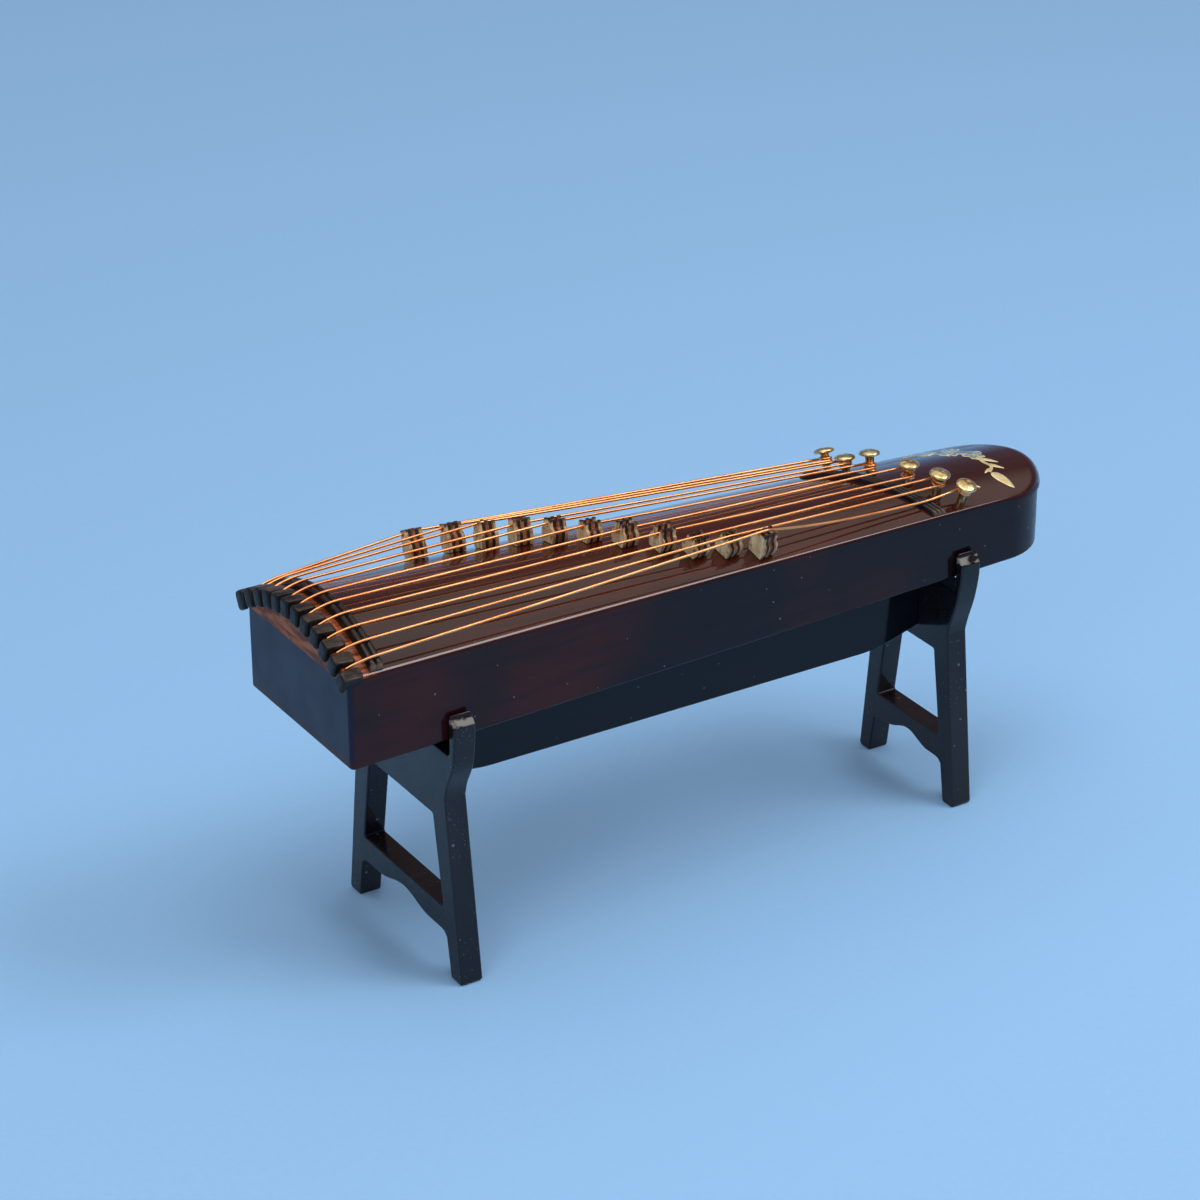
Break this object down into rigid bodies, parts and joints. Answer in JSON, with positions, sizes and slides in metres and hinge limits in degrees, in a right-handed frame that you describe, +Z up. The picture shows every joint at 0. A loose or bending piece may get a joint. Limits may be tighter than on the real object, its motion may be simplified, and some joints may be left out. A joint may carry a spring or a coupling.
{
  "type": "guzheng",
  "caption": "Miniature long board zither with a domed deck, wire strings over movable bridges and nail-wound ends, lifting out of a two-frame table stand.",
  "frame": {"origin": "floor level under the middle of the overall length and width", "axes": "+X along the body from the head to the rounded tail, +Y across the strings, +Z up"},
  "size_m": [0.1422, 0.0372, 0.0657],
  "materials": {
    "stand_lacquer": "black gloss lacquer, slightly worn at the edges",
    "body_lacquer": "very dark red-brown high gloss lacquer",
    "head_lacquer": "dark gloss lacquer over end grain",
    "deck_lacquer": "dark red-brown high gloss lacquer, amber where it is thin",
    "bare_wood": "bare",
    "inlay": "thin pale gold and blue-green metallic print",
    "dark_wood": "dark stained, satin",
    "brass": "polished, faintly dimpled",
    "copper_wire": "drawn copper wire",
    "bridge_plywood": "pale plywood with burnt cut edges"
  },
  "bodies": {
    "stand": {"stand_frame_head": "stand_lacquer", "stand_frame_tail": "stand_lacquer", "stand_beam": "stand_lacquer"},
    "instrument": {"bottom_board": "body_lacquer", "side_board_near": "body_lacquer", "side_board_far": "body_lacquer", "head_panel": "head_lacquer", "tail_block": "body_lacquer", "sound_rib_head": "bare_wood", "sound_rib_tail": "bare_wood", "soundboard": "deck_lacquer", "tail_inlay": "inlay", "head_nut": "dark_wood", "tail_nut": "dark_wood", "string_pegs": "dark_wood", "tuning_nails": "brass", "string_windings": "copper_wire", "string_01": "copper_wire", "string_02": "copper_wire", "string_03": "copper_wire", "string_04": "copper_wire", "string_05": "copper_wire", "string_06": "copper_wire", "string_07": "copper_wire", "string_08": "copper_wire", "string_09": "copper_wire", "string_10": "copper_wire", "string_11": "copper_wire"},
    "bridge_01_body": {"bridge_01": "bridge_plywood"},
    "bridge_02_body": {"bridge_02": "bridge_plywood"},
    "bridge_03_body": {"bridge_03": "bridge_plywood"},
    "bridge_04_body": {"bridge_04": "bridge_plywood"},
    "bridge_05_body": {"bridge_05": "bridge_plywood"},
    "bridge_06_body": {"bridge_06": "bridge_plywood"},
    "bridge_07_body": {"bridge_07": "bridge_plywood"},
    "bridge_08_body": {"bridge_08": "bridge_plywood"},
    "bridge_09_body": {"bridge_09": "bridge_plywood"},
    "bridge_10_body": {"bridge_10": "bridge_plywood"},
    "bridge_11_body": {"bridge_11": "bridge_plywood"}
  },
  "joints": [
    {"name": "body_lift", "type": "slide", "parent": "stand", "child": "instrument", "axis": [0, 0, 1], "range_m": [0, 0.03]},
    {"name": "bridge_01_slide", "type": "slide", "parent": "instrument", "child": "bridge_01_body", "axis": [0.9987, 0, -0.0516], "range_m": [-0.0008, 0.0008]},
    {"name": "bridge_02_slide", "type": "slide", "parent": "instrument", "child": "bridge_02_body", "axis": [0.9987, 0, -0.0516], "range_m": [-0.0008, 0.0008]},
    {"name": "bridge_03_slide", "type": "slide", "parent": "instrument", "child": "bridge_03_body", "axis": [0.9987, 0, -0.0516], "range_m": [-0.0008, 0.0008]},
    {"name": "bridge_04_slide", "type": "slide", "parent": "instrument", "child": "bridge_04_body", "axis": [0.9987, 0, -0.0516], "range_m": [-0.0008, 0.0008]},
    {"name": "bridge_05_slide", "type": "slide", "parent": "instrument", "child": "bridge_05_body", "axis": [0.9987, 0, -0.0516], "range_m": [-0.0008, 0.0008]},
    {"name": "bridge_06_slide", "type": "slide", "parent": "instrument", "child": "bridge_06_body", "axis": [0.9987, 0, -0.0516], "range_m": [-0.0008, 0.0008]},
    {"name": "bridge_07_slide", "type": "slide", "parent": "instrument", "child": "bridge_07_body", "axis": [0.9987, 0, -0.0516], "range_m": [-0.0008, 0.0008]},
    {"name": "bridge_08_slide", "type": "slide", "parent": "instrument", "child": "bridge_08_body", "axis": [0.9987, 0, -0.0516], "range_m": [-0.0008, 0.0008]},
    {"name": "bridge_09_slide", "type": "slide", "parent": "instrument", "child": "bridge_09_body", "axis": [0.9987, 0, -0.0516], "range_m": [-0.0008, 0.0008]},
    {"name": "bridge_10_slide", "type": "slide", "parent": "instrument", "child": "bridge_10_body", "axis": [0.9987, 0, -0.0516], "range_m": [-0.0008, 0.0008]},
    {"name": "bridge_11_slide", "type": "slide", "parent": "instrument", "child": "bridge_11_body", "axis": [0.9987, 0, -0.0516], "range_m": [-0.0008, 0.0008]}
  ]
}
